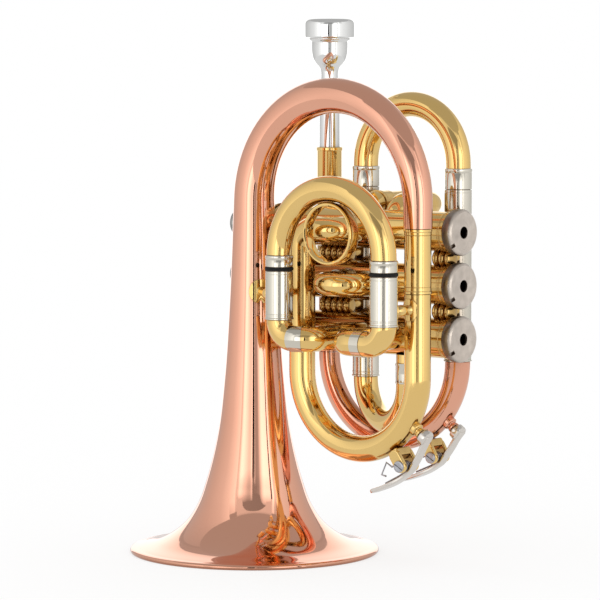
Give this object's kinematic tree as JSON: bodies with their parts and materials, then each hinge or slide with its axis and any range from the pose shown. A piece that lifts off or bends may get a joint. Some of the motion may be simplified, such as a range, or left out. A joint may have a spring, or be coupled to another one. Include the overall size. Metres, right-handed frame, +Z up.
{
  "type": "pocket trumpet",
  "caption": "Tightly wound valve trumpet that stands on its flared bell, with piston valves, pull-out slides, a finger ring, water keys and a cup mouthpiece.",
  "frame": {"origin": "middle of the bounding box, on the plane that the bell's rim stands on", "axes": "+Z up from the bell's mouth to the mouthpiece, +X from the finger buttons along the valves to the bottom caps, +Y from the bell's side to the leadpipe's side"},
  "size_m": [0.1854, 0.1356, 0.2816],
  "materials": {
    "rose_brass": "polished and lacquered",
    "yellow_brass": "polished and lacquered",
    "nickel_silver": "polished",
    "satin_nickel": "satin",
    "silver_plate": "mirror polish",
    "spring_steel": "drawn wire",
    "rubber": "matt",
    "cork": "cut cork"
  },
  "bodies": {
    "horn": {"bell_flare": "rose_brass", "bell_bow": "rose_brass", "bell_ferrule": "yellow_brass", "tail_bow": "yellow_brass", "bell_knuckle": "yellow_brass", "casing_1": "yellow_brass", "casing_2": "yellow_brass", "casing_3": "yellow_brass", "top_cap_1": "nickel_silver", "top_cap_2": "nickel_silver", "top_cap_3": "nickel_silver", "bottom_cap_1": "satin_nickel", "bottom_cap_2": "satin_nickel", "bottom_cap_3": "satin_nickel", "valve_spring_1": "spring_steel", "valve_spring_2": "spring_steel", "valve_spring_3": "spring_steel", "mouthpiece_receiver": "yellow_brass", "leadpipe": "rose_brass", "rear_bow": "rose_brass", "tuning_tube_near": "nickel_silver", "tuning_tube_far": "nickel_silver", "low_crook": "yellow_brass", "third_tube_near": "nickel_silver", "third_tube_far": "nickel_silver", "third_knuckle_near": "yellow_brass", "third_knuckle_far": "yellow_brass", "second_tube_1": "nickel_silver", "second_tube_2": "nickel_silver", "first_tube_1": "yellow_brass", "first_tube_2": "yellow_brass", "bell_brace": "yellow_brass", "slide_brace": "yellow_brass", "water_key_saddle_front": "yellow_brass", "water_key_saddle_rear": "yellow_brass"},
    "mouthpiece": {"mouthpiece": "silver_plate"},
    "tuning_slide": {"tuning_slide": "yellow_brass"},
    "first_slide": {"first_slide_bow": "yellow_brass"},
    "second_slide": {"second_slide_bow": "yellow_brass"},
    "third_slide": {"third_slide_bow": "yellow_brass", "third_leg_near": "nickel_silver", "third_leg_far": "nickel_silver", "third_bumper_near": "rubber", "third_bumper_far": "rubber", "third_slide_ring": "yellow_brass"},
    "valve_1": {"piston_1": "nickel_silver", "valve_stem_1": "nickel_silver", "finger_button_1": "nickel_silver"},
    "valve_2": {"piston_2": "nickel_silver", "valve_stem_2": "nickel_silver", "finger_button_2": "nickel_silver"},
    "valve_3": {"piston_3": "nickel_silver", "valve_stem_3": "nickel_silver", "finger_button_3": "nickel_silver"},
    "water_key_front": {"water_key_lever_front": "nickel_silver", "water_key_cork_front": "cork", "water_key_spring_front": "spring_steel"},
    "water_key_rear": {"water_key_lever_rear": "nickel_silver", "water_key_cork_rear": "cork", "water_key_spring_rear": "spring_steel"}
  },
  "joints": [
    {"name": "valve_1_press", "type": "slide", "parent": "horn", "child": "valve_1", "axis": [1, 0, 0], "range_m": [0, 0.0165], "stiffness_N_per_m": 250, "springref_m": -0.006, "deforming": ["valve_spring_1"]},
    {"name": "valve_2_press", "type": "slide", "parent": "horn", "child": "valve_2", "axis": [1, 0, 0], "range_m": [0, 0.0165], "stiffness_N_per_m": 250, "springref_m": -0.006, "deforming": ["valve_spring_2"]},
    {"name": "valve_3_press", "type": "slide", "parent": "horn", "child": "valve_3", "axis": [1, 0, 0], "range_m": [0, 0.0165], "stiffness_N_per_m": 250, "springref_m": -0.006, "deforming": ["valve_spring_3"]},
    {"name": "tuning_slide_pull", "type": "slide", "parent": "horn", "child": "tuning_slide", "axis": [0, 0, 1], "range_m": [0, 0.05]},
    {"name": "first_slide_pull", "type": "slide", "parent": "horn", "child": "first_slide", "axis": [0, 1, 0], "range_m": [0, 0.006]},
    {"name": "second_slide_pull", "type": "slide", "parent": "horn", "child": "second_slide", "axis": [0, -1, 0], "range_m": [0, 0.006]},
    {"name": "third_slide_throw", "type": "slide", "parent": "horn", "child": "third_slide", "axis": [0, 0, 1], "range_m": [0, 0.016]},
    {"name": "mouthpiece_pull", "type": "slide", "parent": "horn", "child": "mouthpiece", "axis": [0, 0, 1], "range_m": [0, 0.022]},
    {"name": "water_key_front_press", "type": "hinge", "parent": "horn", "child": "water_key_front", "pos_m": [0.0766, -0.0019, 0.05431], "axis": [0, 1, 0], "range_deg": [0, 12], "stiffness_Nm_per_rad": 0.05, "springref_deg": -20.05},
    {"name": "water_key_rear_press", "type": "hinge", "parent": "horn", "child": "water_key_rear", "pos_m": [0.05979, 0.0451, 0.05301], "axis": [0, 1, 0], "range_deg": [0, 12], "stiffness_Nm_per_rad": 0.05, "springref_deg": -20.05}
  ]
}
